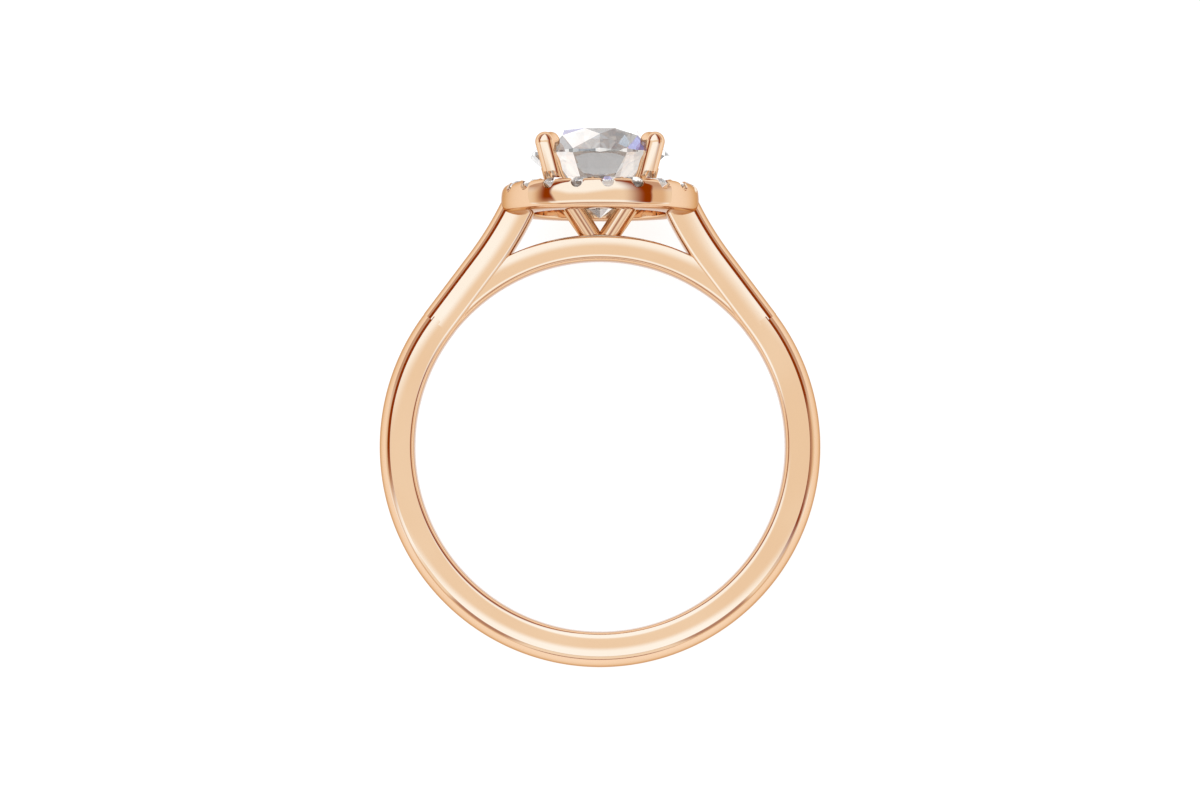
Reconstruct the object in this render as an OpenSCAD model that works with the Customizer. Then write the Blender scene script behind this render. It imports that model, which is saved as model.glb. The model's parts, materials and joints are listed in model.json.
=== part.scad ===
// Halo ring, lying on its side: a plain rose-gold band whose shoulders carry a round halo of small
// stones, with one round brilliant held above it by four claws.
//
// Each piece is drawn upright, with the finger hole along Y and the head towards +Z, and is then laid
// down as the ring rests by itself: on the wall of the halo and on the lowest point of the band.
// The origin is the centre of the finger hole. Millimetres and degrees.

/* [Band] */
// Bore of the band, the ring size
finger_d = 17.3; // [14:0.1:21]
// Thickness of the band, from the bore to the top of its domed outside
band_t = 1.63; // [1.4:0.01:2.2]
// Width of the band along the finger
band_w = 2.1; // [1.9:0.05:2.6]
// Height of the domed outside above the flat sides
dome_h = 0.5; // [0.2:0.05:0.6]
// Rounding of the two edges of the bore
comfort_r = 0.25; // [0.1:0.01:0.35]

/* [Shoulders] */
// Angle through which each shoulder turns upright before it meets the halo
shoulder_turn = 10; // [6:0.5:14]
// Radius of that turn, along the outer edge
shoulder_r = 15.2; // [10:0.1:20]
// How far the outer edge of each shoulder stands out where it passes under the wall of the halo
shoulder_proud = 0.07; // [0.04:0.01:0.12]
// How far each shoulder stands into the open middle of the halo
shoulder_stub = 0.2; // [0.1:0.01:0.3]

/* [Bridge] */
// Thickness of the bridge that closes the finger circle under the head
bridge_t = 1.19; // [0.9:0.01:1.3]
// How far each side of the bridge is set back from the side of the band
bridge_inset = 0.06; // [0.03:0.01:0.08]

/* [Halo] */
// Diameter of the open middle of the halo
halo_open_d = 6.3; // [6.1:0.02:6.4]
// Metal left inside and outside its row of stones
halo_rim = 0.185; // [0.16:0.005:0.25]
// Height of the halo, from its flat underside to its top
halo_h = 1.35; // [1.2:0.01:1.6]
// Clear height between the top of the bridge and the underside of the halo
halo_rise = 1.01; // [0.8:0.01:1.2]
// Rounding of its upper outer edge
halo_top_r = 0.4; // [0.2:0.01:0.45]
// Rounding of its lower outer edge
halo_base_r = 0.16; // [0.08:0.01:0.2]
// Rounding of both edges of the open middle
halo_lip_r = 0.08; // [0.04:0.01:0.1]

/* [Halo stones] */
// Diameter of each halo stone
melee_d = 1.1; // [1.02:0.01:1.2]
// Least space between one halo stone and the next, which holds the grains
melee_space = 0.12; // [0.1:0.01:0.16]
// Height of their tables above the top of the halo
melee_proud = 0.05; // [0.02:0.01:0.08]
// Width of the cut in the outer wall at each stone
notch_w = 0.56; // [0.4:0.02:0.64]
// Depth of that cut below the top of the halo
notch_depth = 0.46; // [0.35:0.01:0.55]
// Radius of the grains between the stones
grain_r = 0.13; // [0.08:0.01:0.14]
// Height of the grains above the top of the halo
grain_proud = 0.04; // [0.02:0.01:0.06]
// Distance of the grains from the line between the middles of two neighbouring stones
grain_off = 0.36; // [0.35:0.01:0.39]

/* [Centre stone] */
// Diameter of the centre stone
stone_d = 6.5; // [6.2:0.05:6.8]
// Clear height between the top of the bridge and the tip of the centre stone
stone_rise = 0.82; // [0.7:0.01:1]

/* [Claws] */
// Diameter of the claw wire
claw_d = 0.9; // [0.75:0.01:0.95]
// Distance of the middle of each claw from the upright, at the top of the bridge
claw_foot = 0.585; // [0.5:0.005:0.6]
// Height above the halo at which each claw bends more upright
claw_bend_rise = 0.2; // [0.1:0.01:0.3]
// How far the middle of the wire keeps inside the opening of the halo, where it bends
claw_bend_inset = 0.16; // [0.1:0.01:0.25]
// How far the middle of the wire stands outside the centre stone, where the tip begins
claw_reach = 0.33; // [0.25:0.01:0.4]
// Height of the wire's end above the middle of the stone's edge
claw_height = 0.45; // [0.4:0.01:0.55]
// How far the rounded tip lies over the edge of the centre stone
claw_grip = 0.45; // [0.35:0.01:0.55]

/* [Fit] */
// Gap all round the centre stone
stone_gap = 0.04; // [0.02:0.01:0.06]
// Gap all round each halo stone
melee_gap = 0.02; // [0.01:0.005:0.025]

/* [Hidden] */
$fn = 96;

// Proportions of a round brilliant as shares of its diameter, and its two main facet angles
TABLE_SHARE = 0.56;
GIRDLE_SHARE = 0.03;
CROWN_DEG = 36.5;
PAVILION_DEG = 40.75;
// How far the star and the lower-half facets reach, as shares of the way they could
STAR_SHARE = 0.5;
LOWER_HALF_SHARE = 0.77;
// The tip of each stone is cut off flat at this share of its radius
CULET_SHARE = 0.012;
FACET_PITCH = 45;

CLAW_DEGS = [45, 135, 225, 315];
// Heights in the halo, as shares of its own, where the shoulders meet its wall and where they end
SHOULDER_MEET_SHARE = 0.3;
SHOULDER_TOP_SHARE = 0.5;

// Overrun of a cutting shape past what it cuts
over = 1;

bore_r = finger_d / 2;
band_r = bore_r + band_t;
side_r = band_r - dome_h;
dome_r = (pow(band_w / 2, 2) + dome_h * dome_h) / (2 * dome_h);
// Band and bridge are drawn under the size of the bore and are reamed together
ream_stock = 0.15;

bridge_r = bore_r + bridge_t;
bridge_w = band_w - 2 * bridge_inset;
bridge_overlap_deg = 6;

melee_r = melee_d / 2;
halo_open_r = halo_open_d / 2;
halo_r = halo_open_r + melee_d + 2 * halo_rim;
halo_z = bridge_r + halo_rise;
halo_top = halo_z + halo_h;

// The outer edge of a shoulder leaves the band on a tangent, runs straight and then turns until it
// passes a point just outside the wall of the halo
shoulder_end = [halo_r + shoulder_proud, halo_z + SHOULDER_MEET_SHARE * halo_h];
shoulder_sweep = shoulder_r * (1 - cos(shoulder_turn));
shoulder_view = acos((band_r + shoulder_sweep) / norm(shoulder_end));
shoulder_deg = atan2(shoulder_end[1], shoulder_end[0]) - shoulder_view;
shoulder_run = norm(shoulder_end) * sin(shoulder_view) - shoulder_r * sin(shoulder_turn);
shoulder_spare_deg = 4;
shoulder_top = halo_z + SHOULDER_TOP_SHARE * halo_h;
// Each stretch is a hair thicker than the one before, and takes in its end
step = 0.012;
lap = 0.2;
// The inner faces of the shoulders start a little inside the bore, and are reamed with it
shoulder_stock = 0.05;
shoulder_edge_r = 0.2;

// The row of stones runs a little outside the middle of the collar's wall, and is as full as it can be
melee_out = 0.02;
melee_ring_r = (halo_open_r + halo_r) / 2 + melee_out;
melee_count = floor(180 / asin((melee_d + melee_space) / (2 * melee_ring_r)));
melee_pitch = 360 / melee_count;
// It starts a quarter of a pitch off the line of sight along the finger
melee_phase = melee_pitch / 4;
melee_z = halo_top + melee_proud - crown_h(melee_r) - girdle_half(melee_r);
grain_z = halo_top + grain_proud - grain_r;
grain_line_r = melee_ring_r * cos(melee_pitch / 2);

stone_r = stone_d / 2;
stone_z = bridge_r + stone_rise + stone_r * tan(PAVILION_DEG) + girdle_half(stone_r);

claw_r = claw_d / 2;
claw_bend_z = halo_top + claw_bend_rise;
claw_bend_r = halo_open_r - claw_bend_inset;
claw_lean = atan2(claw_bend_r - claw_foot, claw_bend_z - bridge_r);
claw_top = [stone_r + claw_reach, stone_z + claw_height];
// The wire is filed a little thinner at its tip, which rises a little over the stone
claw_filed = 0.03;
claw_tip_rise = 0.05;
claw_tip_ball = claw_r - claw_filed;
claw_tip = [stone_r - claw_grip + claw_tip_ball, claw_top[1] + claw_tip_rise];
// The wire runs on down into the bridge, where the claws part by a fine saw cut
claw_root = 0.45;
saw_cut = 0.01;

// Tilt of the laid ring: the floor touches the rounded lower edge of the halo and the band's side edge
rest_reach = halo_r - halo_base_r - band_w / 2;
rest_length = halo_z + halo_base_r + side_r;
rest_tilt = atan2(rest_reach, rest_length) + asin(halo_base_r / norm([rest_reach, rest_length]));

function girdle_half(r) = GIRDLE_SHARE * r;
function table_r(r) = TABLE_SHARE * r;
function crown_h(r) = (r - table_r(r)) * tan(CROWN_DEG);
// The point of a star facet, as radius and height above the upper edge of the girdle
function star_r(r) = table_r(r) * cos(FACET_PITCH / 2) * (1 - STAR_SHARE) + r * STAR_SHARE;
function star_h(r) = (r - star_r(r) * cos(FACET_PITCH / 2)) * tan(CROWN_DEG);
// The inner end of the lower halves, as radius and depth below the lower edge of the girdle
function lower_r(r) = r * (1 - LOWER_HALF_SHARE);
function lower_h(r) = (r - lower_r(r) * cos(FACET_PITCH / 2)) * tan(PAVILION_DEG);
function melee_deg(i) = melee_phase + i * melee_pitch;
// The directions of a ring of eight facets
function eight_from(deg) = [for (k = [0:7]) deg + k * FACET_PITCH];

// Lays what is drawn upright on its side, with the head away from the viewer
module laid() {
    rotate([rest_tilt - 90, 0, 0])
        children();
}

// Turns a shape drawn in the XY plane into the plane of the ring, its Y becoming the ring's Z
module in_ring_plane() {
    rotate([90, 0, 0])
        children();
}

// Turns a piece drawn on the +X side to an angle counted from the viewer's side towards +X
module round_the_head(deg) {
    rotate([0, 0, deg - 90])
        children();
}

// What a square corner loses when it is rounded; the corner is at the origin, the shape at -X and -Y
module corner_waste(r) {
    translate([-r, -r])
        difference() {
            square(2 * r);
            circle(r);
        }
}

// Section of the band: distance from the finger axis along X, width along Y, inner face at x0, and
// grown all round by a step
module band_section(x0, grow = 0) {
    intersection() {
        translate([x0 - grow, -band_w / 2 - grow])
            square([band_r - x0 + over, band_w + 2 * grow]);
        union() {
            translate([x0 - over, -band_w])
                square([band_r - dome_r - x0 + over, 2 * band_w]);
            translate([band_r - dome_r, 0])
                circle(dome_r + grow);
        }
    }
}

module shoulder_section(grow) {
    x0 = bore_r - shoulder_stock;
    difference() {
        band_section(x0, grow);
        for (side = [0, 1])
            mirror([0, side])
                translate([x0 - grow, band_w / 2 + grow])
                    mirror([1, 0])
                        corner_waste(shoulder_edge_r);
    }
}

module shank() {
    end_deg = shoulder_deg + lap / band_r * 180 / PI;
    in_ring_plane()
        rotate([0, 0, 180 - end_deg])
            rotate_extrude(angle = 180 + 2 * end_deg)
                band_section(bore_r - ream_stock);
}

// The right shoulder, from the band up to a flat end inside the halo
module shoulder() {
    difference() {
        in_ring_plane()
            rotate([0, 0, shoulder_deg])
                translate([band_r, 0]) {
                    rotate([-90, 0, 0])
                        linear_extrude(shoulder_run + lap)
                            translate([-band_r, 0])
                                shoulder_section(step);
                    translate([shoulder_r, shoulder_run])
                        rotate([0, 0, 180 - shoulder_turn - shoulder_spare_deg])
                            rotate_extrude(angle = shoulder_turn + shoulder_spare_deg)
                                translate([shoulder_r + band_r, 0])
                                    mirror([1, 0])
                                        shoulder_section(2 * step);
                }
        translate([0, -band_w, shoulder_top])
            cube([2 * halo_r, 2 * band_w, 2 * halo_r]);
        translate([0, 0, halo_z - over])
            cylinder(h = 2 * halo_r, r = halo_open_r - shoulder_stub);
    }
}

module bridge() {
    start_deg = shoulder_deg - bridge_overlap_deg;
    in_ring_plane()
        rotate([0, 0, start_deg])
            rotate_extrude(angle = 180 - 2 * start_deg)
                translate([bore_r - 2 * ream_stock, -bridge_w / 2])
                    square([bridge_t + 2 * ream_stock, bridge_w]);
}

// Cuts the bore to its size and rounds both of its edges
module ream() {
    land = band_w / 2 - comfort_r;
    in_ring_plane()
        rotate_extrude() {
            translate([0, -band_w])
                square([bore_r, 2 * band_w]);
            for (side = [0, 1])
                mirror([0, side])
                    difference() {
                        translate([bore_r - ream_stock, land])
                            square([ream_stock + comfort_r, band_w / 2]);
                        translate([bore_r + comfort_r, land])
                            circle(comfort_r);
                    }
        }
}

// The closed collar of the halo, before it is drilled for its stones
module collar() {
    wall = halo_r - halo_open_r;
    translate([0, 0, halo_z])
        rotate_extrude()
            translate([halo_open_r, 0])
                difference() {
                    square([wall, halo_h]);
                    translate([wall, halo_h])
                        corner_waste(halo_top_r);
                    translate([wall, 0])
                        mirror([0, 1])
                            corner_waste(halo_base_r);
                    translate([0, halo_h])
                        mirror([1, 0])
                            corner_waste(halo_lip_r);
                    mirror([1, 0])
                        mirror([0, 1])
                            corner_waste(halo_lip_r);
                }
}

// A seat for one halo stone: a drilled hole with a cone that follows the stone's underside
module melee_seat() {
    edge_z = melee_z - girdle_half(melee_r) - melee_r * (1 - cos(FACET_PITCH / 2)) * tan(PAVILION_DEG);
    tip_z = melee_z - girdle_half(melee_r) - melee_r * tan(PAVILION_DEG);
    translate([melee_ring_r, 0, 0])
        rotate_extrude()
            polygon([
                [0, tip_z - 1.5 * melee_gap],
                [melee_r + melee_gap, edge_z - melee_gap],
                [melee_r + melee_gap, halo_top + over],
                [0, halo_top + over],
            ]);
}

// The cut that opens each seat to the outer wall, round at the bottom
module notch() {
    floor_z = halo_top - notch_depth;
    start_r = melee_ring_r + notch_w / 4;
    translate([start_r, 0, floor_z + notch_w / 2])
        rotate([90, 0, 90])
            linear_extrude(halo_r - start_r + over) {
                circle(d = notch_w);
                translate([-notch_w / 2, 0])
                    square([notch_w, halo_h]);
            }
}

// The grains of one gap between two stones, one at the outer edge and one at the inner
module grains() {
    for (r = [grain_line_r - grain_off, grain_line_r + grain_off])
        translate([r, 0, grain_z])
            sphere(grain_r);
}

// One straight stretch of round wire in the XZ plane, from one point to another
module wire(from, to, r) {
    run = to - from;
    translate([from[0], 0, from[1]])
        rotate([0, atan2(run[0], run[1]), 0])
            cylinder(h = norm(run), r = r);
}

// A ball where two stretches of wire meet, a hair thicker than they are
module knuckle(at, r) {
    translate([at[0], 0, at[1]])
        sphere(r + step);
}

// A quarter of the space round the upright, short of its neighbours by half a saw cut
module quarter() {
    translate([saw_cut / sqrt(2), 0, 0])
        rotate([0, 0, -45])
            cube([2 * halo_r, 2 * halo_r, 2 * halo_top]);
}

module claw() {
    root = [claw_foot - claw_root * tan(claw_lean), bridge_r - claw_root];
    bend = [claw_bend_r, claw_bend_z];
    intersection() {
        wire(root, bend, claw_r);
        quarter();
    }
    knuckle(bend, claw_r);
    wire(bend, claw_top, claw_r);
    knuckle(claw_top, claw_r);
    wire(claw_top, claw_tip, claw_tip_ball);
    knuckle(claw_tip, claw_tip_ball);
}

// Room for the centre stone in the claws: its outline turned about the upright, with a gap all round
module stone_seat() {
    edge = girdle_half(stone_r) + stone_gap;
    translate([0, 0, stone_z])
        rotate_extrude()
            polygon([
                [0, -edge - stone_r * tan(PAVILION_DEG)],
                [lower_r(stone_r) + stone_gap, -edge - lower_h(stone_r)],
                [stone_r + stone_gap, -edge],
                [stone_r + stone_gap, edge],
                [star_r(stone_r) + stone_gap, edge + star_h(stone_r)],
                [table_r(stone_r) + stone_gap, edge + crown_h(stone_r)],
                [0, edge + crown_h(stone_r)],
            ]);
}

// Everything of gold, soldered into one solid
module ring_mount() {
    color("#E8C09A")
        laid()
            difference() {
                union() {
                    difference() {
                        union() {
                            shank();
                            bridge();
                            for (side = [0, 1])
                                mirror([side, 0, 0])
                                    shoulder();
                        }
                        ream();
                    }
                    difference() {
                        collar();
                        for (i = [0:melee_count - 1])
                            round_the_head(melee_deg(i)) {
                                melee_seat();
                                notch();
                            }
                    }
                    for (i = [0:melee_count - 1])
                        round_the_head(melee_deg(i + 0.5))
                            grains();
                    for (deg = CLAW_DEGS)
                        round_the_head(deg)
                            claw();
                }
                stone_seat();
            }
}

// Takes off all that lies above one flat facet, which passes at a distance r from the stone's axis at
// height z and falls outwards by the angle slope
module facet(deg, r, z, slope) {
    big = 4 * r + 1;
    rotate([0, 0, deg])
        translate([r, 0, z])
            rotate([0, slope, 0])
                translate([-big / 2, -big / 2, 0])
                    cube(big);
}

// Cuts a ring of equal facets into the children
module cut_facets(degs, r, z, slope) {
    difference() {
        children();
        for (deg = degs)
            facet(deg, r, z, slope);
    }
}

module upside_down() {
    mirror([0, 0, 1])
        children();
}

// The crown of a brilliant: eight bezels, eight stars and sixteen upper halves
module cut_crown(r) {
    z = girdle_half(r);
    half_step = FACET_PITCH / 4;
    star_deg = atan((crown_h(r) - star_h(r)) / (star_r(r) - table_r(r) * cos(FACET_PITCH / 2)));
    upper_deg = atan(star_h(r) / ((r - star_r(r)) * cos(half_step)));
    cut_facets(eight_from(0), star_r(r), z + star_h(r), star_deg)
        cut_facets(eight_from(half_step), r * cos(half_step), z, upper_deg)
            cut_facets(eight_from(-half_step), r * cos(half_step), z, upper_deg)
                cut_facets(eight_from(2 * half_step), r, z, CROWN_DEG)
                    children();
}

// The pavilion of a brilliant, drawn with its tip upwards: eight mains and sixteen lower halves
module cut_pavilion(r) {
    z = girdle_half(r);
    half_step = FACET_PITCH / 4;
    lower_deg = atan(lower_h(r) / ((r - lower_r(r)) * cos(half_step)));
    cut_facets(eight_from(half_step), r * cos(half_step), z, lower_deg)
        cut_facets(eight_from(-half_step), r * cos(half_step), z, lower_deg)
            cut_facets(eight_from(2 * half_step), r, z, PAVILION_DEG)
                children();
}

// A round blank of the stone's full depth, with its edge round z = 0
module blank(r) {
    depth = girdle_half(r) + r * (1 - CULET_SHARE) * tan(PAVILION_DEG);
    translate([0, 0, -depth])
        cylinder(h = depth + girdle_half(r) + crown_h(r), r = r);
}

module centre_stone() {
    color("#E6EAEE")
        laid()
            translate([0, 0, stone_z])
                cut_crown(stone_r)
                    upside_down()
                        cut_pavilion(stone_r)
                            upside_down()
                                blank(stone_r);
}

// A single-cut stone: a table, eight facets above the girdle and eight below
module halo_stone(i) {
    z = girdle_half(melee_r);
    color("#E6EAEE")
        laid()
            round_the_head(melee_deg(i))
                translate([melee_ring_r, 0, melee_z])
                    cut_facets(eight_from(0), melee_r, z, CROWN_DEG)
                        upside_down()
                            cut_facets(eight_from(0), melee_r, z, PAVILION_DEG)
                                upside_down()
                                    blank(melee_r);
}

ring_mount();
centre_stone();
for (i = [0:melee_count - 1])
    halo_stone(i);
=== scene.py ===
"""The looks of a halo ring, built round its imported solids: polished rose gold, diamonds and a studio."""
import json
import math
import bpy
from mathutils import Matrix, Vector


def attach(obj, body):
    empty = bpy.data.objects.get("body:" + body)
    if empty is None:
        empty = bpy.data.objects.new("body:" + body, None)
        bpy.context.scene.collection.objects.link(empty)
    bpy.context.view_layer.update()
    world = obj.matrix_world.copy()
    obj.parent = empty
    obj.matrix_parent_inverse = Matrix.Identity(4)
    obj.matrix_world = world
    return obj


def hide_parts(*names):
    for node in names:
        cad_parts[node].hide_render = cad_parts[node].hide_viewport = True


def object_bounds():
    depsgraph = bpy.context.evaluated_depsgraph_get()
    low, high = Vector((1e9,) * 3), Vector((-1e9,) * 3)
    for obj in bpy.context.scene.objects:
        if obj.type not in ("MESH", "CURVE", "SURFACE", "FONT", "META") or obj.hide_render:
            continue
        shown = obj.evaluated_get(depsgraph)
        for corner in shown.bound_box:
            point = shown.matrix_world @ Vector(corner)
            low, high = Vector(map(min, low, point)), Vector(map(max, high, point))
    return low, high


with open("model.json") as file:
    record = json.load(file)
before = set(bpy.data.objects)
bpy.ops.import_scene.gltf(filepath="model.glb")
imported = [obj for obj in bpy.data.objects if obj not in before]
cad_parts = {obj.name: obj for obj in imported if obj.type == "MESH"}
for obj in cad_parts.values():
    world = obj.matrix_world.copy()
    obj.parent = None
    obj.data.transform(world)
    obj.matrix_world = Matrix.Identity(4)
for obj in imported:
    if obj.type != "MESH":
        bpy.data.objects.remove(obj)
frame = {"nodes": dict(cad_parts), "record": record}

from types import SimpleNamespace

import bmesh
import bpy
from bpy.props import FloatProperty, FloatVectorProperty, PointerProperty
from bpy.types import Operator, Panel, PropertyGroup
from mathutils import Matrix, Vector

bl_info = {
    "name": "Halo Ring",
    "version": (1, 0, 0),
    "blender": (4, 5, 0),
    "location": "3D View > Sidebar > Halo Ring",
    "description": "Models a halo engagement ring in polished rose gold and lights it in a small studio",
    "category": "Object",
}

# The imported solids' own box, before anything is added
CAD_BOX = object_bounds()
BORE = next(m for m in frame["record"]["mounts"] if m["name"] == "finger_bore")
# Pieces are drawn upright in millimetres, head towards +Z and finger hole along Y, and then laid down
MM = 0.001
BORE_R = BORE["dims"]["r_mm"]
TILT = math.atan2(-BORE["axis"][1], BORE["axis"][2])
LAID = Matrix.Scale(MM, 4) @ Matrix.Rotation(TILT - math.pi / 2, 4, "X")
TO_HEAD = Vector((0, math.cos(TILT), math.sin(TILT)))
TO_FACE = Vector((0, -math.sin(TILT), math.cos(TILT)))

X = Vector((1, 0, 0))
Y = Vector((0, 1, 0))
Z = Vector((0, 0, 1))

# Fineness of the meshes: steps in each sweep, and in the arcs of the sections
BAND_STEPS = 201
BRIDGE_STEPS = 115
TURN_STEPS = 40
HALO_STEPS = 320
SEAT_STEPS = 48
CUT_STEPS = 20
CLAW_SEAT_STEPS = 128
WIRE_SIDES = 40
ELBOW_STEPS = 8
END_STEPS = 10
ARC_STEPS = 8
CROWN_STEPS = 16
DOME_STEPS = 14
LIP_STEPS = 5
HALO_TOP_STEPS = 12
HALO_BASE_STEPS = 10
GRAIN_SEGMENTS = 20
GRAIN_RINGS = 12
# Vertices closer than this are one, in millimetres
WELD = 1e-4
# Edges sharper than this stay crisp under smooth shading
CRISP = math.radians(32)
# The edges that the cuts leave in the halo's wall are sharper than this, and lie on it this closely
CUT_CRISP = math.radians(40)
ON_WALL = 0.005

# How soldered pieces run into each other: no two of their bores share a place, and no gap is left
BAND_LAP = 0.2
SHOULDER_BORE = BORE_R + 0.004
BRIDGE_BORE = BORE_R + 0.006
BRIDGE_LAP = math.radians(6)
OVERTURN = math.radians(4)
# Where the shoulders' polished sides swell most
SHOULDER_CROWN = BORE_R + 0.4
# Where the shoulders' outer edge meets the halo's wall, and where they end in it, as shares of its height
MEET_SHARE = 0.3
STAND_SHARE = 0.5
# What the rounded edges of the bevel take from the arcs beside them, in radians
TRIM = 0.004
# Room round each small stone and under its tip, and how far a cutter passes the metal
SEAT_GAP = 0.02
TIP_GAP = 0.03
PAST = 1
# The camera's film in millimetres, and the nearest and farthest that it sees in metres
SENSOR = 36
CLIP = (0.01, 10)
# Half the angle from one of eight facets to the next
HALF_FACET = math.pi / 8
# The claws stand evenly round the centre stone, the first halfway between the viewer and the band's side
CLAWS = 4

# Grain of the finish. Noise scales count per metre, and each noise rises between its two limits
DRIFT_SCALE, DRIFT_LIMITS = 180, (0.3, 0.7)
HAZE_SCALE, HAZE_DETAIL, HAZE_LIMITS = 900, 4, (0.45, 0.75)
BUFFING_SCALE, BUFFING_DEPTH, BUFFING_STRENGTH = (9000, 9000, 1200), 0.00001, 0.01
POLISH, HAZE = 0.05, 0.03
PAPER_SCALE, PAPER_GRAIN, PAPER_ROUGHNESS = 400, 1.01, 0.9
DIAMOND_IOR = 2.417
# A facet is told by its direction, rounded to this. Its lot sets its painted glow, which turns from painted
# highlight to painted shade up to the limit, and the highest sparks among those that face the head glow
# with a painted flash, warm in small patches
FACET_SNAP = (0.01, 0.01, 0.01)
PAINTED_SHADE_LOTS = (0.0, 0.7)
SPARKS, PAINTED_FLASH_FROM, CROWN_FROM = 5, 0.9, 0.1
PATCH_SCALE, PATCH_LIMITS = 1600, (0.64, 0.66)


def length(name, millimetres, description, high=50.0):
    """A size that is shown in Blender's units and written here in millimetres."""
    return FloatProperty(
        name=name, description=description, default=millimetres * MM, min=0, max=high * MM,
        unit="LENGTH", subtype="DISTANCE", precision=5,
    )


def angle(name, degrees, description):
    return FloatProperty(
        name=name, description=description, default=math.radians(degrees), unit="ROTATION", subtype="ANGLE",
    )


def share(name, value, description):
    return FloatProperty(name=name, description=description, default=value, min=0, max=1, subtype="FACTOR")


def colour(name, rgb, description, high=1):
    return FloatVectorProperty(
        name=name, description=description, default=rgb, size=3, min=0, max=high, subtype="COLOR",
    )


class HALO_RING_PG_band(PropertyGroup):
    thickness: length("Thickness", 1.63, "From the bore to the top of the domed outside")
    width: length("Width", 2.1, "Along the finger")
    dome: length("Dome", 0.54, "Height of the domed outside above the flat sides")
    comfort: length("Comfort rounding", 0.25, "Rounding of the two edges of the bore")
    pillow: length("Pillow", 0.045, "How much the polished sides swell between their edges")
    bevel: length("Bevel", 0.12, "Width of the narrow polished bevel between side and dome")
    bevel_lean: angle("Bevel lean", 30, "How far that bevel leans outwards from the side")
    softness: length("Edge softness", 0.05, "Rounding that the polish leaves on both edges of the bevel")
    flank_lean: angle("Flank lean", 36, "How far the dome leans outwards where it meets the bevel")
    top_lean: angle("Top lean", 75, "How far it leans where its round flank turns into its flatter top")


class HALO_RING_PG_shoulders(PropertyGroup):
    turn: angle("Turn", 10, "Angle through which each shoulder turns upright")
    turn_radius: length("Turn radius", 15.2, "Radius of that turn, along the outer edge")
    proud: length("Proud", 0.07, "How far the outer edge passes outside the halo's wall")
    stub: length("Stub", 0.2, "How far each shoulder stands into the halo's opening")
    seam: length("Seam", 0.012, "Step where the shoulder is soldered over the band")
    rim_shift: length("Rim shift", 0.1, "How far the shoulder's bevel lies outside the band's")


class HALO_RING_PG_bridge(PropertyGroup):
    thickness: length("Thickness", 1.19, "Of the bar that closes the finger circle")
    inset: length("Inset", 0.06, "How far each side is set back from the band's side")
    pillow: length("Pillow", 0.05, "How much its polished sides swell")
    softness: length("Edge softness", 0.12, "Rounding of its outer edges")


class HALO_RING_PG_halo(PropertyGroup):
    opening: length("Opening", 6.3, "Diameter of the open middle")
    rim: length("Rim", 0.185, "Metal left inside and outside the row of stones")
    height: length("Height", 1.35, "From the flat underside to the top")
    rise: length("Rise", 1.01, "Clear height above the bridge")
    top_round: length("Top rounding", 0.4, "Of the upper outer edge")
    base_round: length("Base rounding", 0.3, "Of the lower outer edge")
    lip_round: length("Lip rounding", 0.08, "Of the edges of the opening")
    barrel: length("Barrel radius", 2.6, "Radius of the gentle swell of the outer wall from top to bottom")
    barrel_rise: length("Barrel rise", 0.6, "Height of the widest place of that swell above the underside")
    stone: length("Stone", 1.1, "Diameter of each small stone")
    stone_space: length("Stone space", 0.12, "Least space from one small stone to the next")
    stone_out: length("Row offset", 0.02, "How far the row runs outside the middle of the wall")
    stone_proud: length("Stone height", 0.05, "Of the small tables above the halo's top")
    cut_width: length("Cut width", 0.56, "Of the U-shaped cut in the wall at each stone")
    cut_depth: length("Cut depth", 0.46, "Of that cut below the halo's top")
    cut_rim: length("Cut rim", 0.03, "Width of the bright rim round each cut")
    grain: length("Grain", 0.13, "Radius of the beads that hold the small stones")
    grain_proud: length("Grain height", 0.04, "Of the beads above the halo's top")
    grain_off: length("Grain offset", 0.36, "Of the beads to both sides of the row")


class HALO_RING_PG_claws(PropertyGroup):
    wire: length("Wire", 0.9, "Diameter of the claws")
    foot: length("Foot", 0.585, "Distance of each claw from the upright on the bridge")
    root: length("Root", 0.45, "Depth to which the claws are let into the bridge")
    bend_rise: length("Bend height", 0.2, "Height above the halo at which each claw bends")
    bend_inset: length("Bend inset", 0.16, "How far the wire keeps inside the opening there")
    elbow: length("Elbow", 0.9, "Radius of that bend")
    reach: length("Reach", 0.33, "How far the wire passes outside the centre stone")
    height: length("Height", 0.45, "Of the wire's end above the stone's edge")
    grip: length("Grip", 0.45, "How far the tip lies over the stone")
    filed: length("Filed", 0.03, "How much thinner the tip is than the wire")
    tip_rise: length("Tip rise", 0.05, "How far the tip climbs over the stone")


class HALO_RING_PG_stones(PropertyGroup):
    diameter: length("Centre stone", 6.5, "Diameter of the centre stone")
    rise: length("Rise", 0.82, "Clear height of its tip above the bridge")
    gap: length("Gap", 0.04, "Between the centre stone and its claws")
    pavilion: angle("Pavilion", 40.75, "Angle of the lower facets")
    crown: angle("Crown", 36.5, "Angle of the upper facets")
    table: share("Table", 0.56, "Width of the top facet as a share of the stone")
    girdle: share("Girdle", 0.03, "Half its height as a share of the radius")


class HALO_RING_PG_finish(PropertyGroup):
    gold: colour("Rose gold", (0.86, 0.605, 0.405), "The polished metal")
    gold_deep: colour("Deep gold", (0.835, 0.565, 0.36), "The metal where the alloy is a little redder")
    gold_rim: colour("Rim of the gold", (0.64, 0.43, 0.27), "The metal where it turns away from the eye")
    # Emission colours that paint light into the stones: painted highlight on the brightest facets, painted
    # shade on the darkest
    diamond: colour("Diamond", (0.95, 0.94, 0.92), "The brightest facets of the stones")
    diamond_painted_shade: colour("Diamond shade", (0.03, 0.03, 0.033), "The darkest facets of the stones")
    clear: colour("Clear stone", (0.28, 0.265, 0.25), "How much light passes through the stones")
    # Colours of the painted flash that a few facets glow with; the cool one also tints the transmission of
    # those facets
    painted_flash_warm: colour("Warm flash", (1.0, 0.25, 0.08), "Warm end of the colours that a few facets throw")
    painted_flash_cool: colour("Cool flash", (0.11, 0.10, 0.25), "Cool end of those colours")


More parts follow.
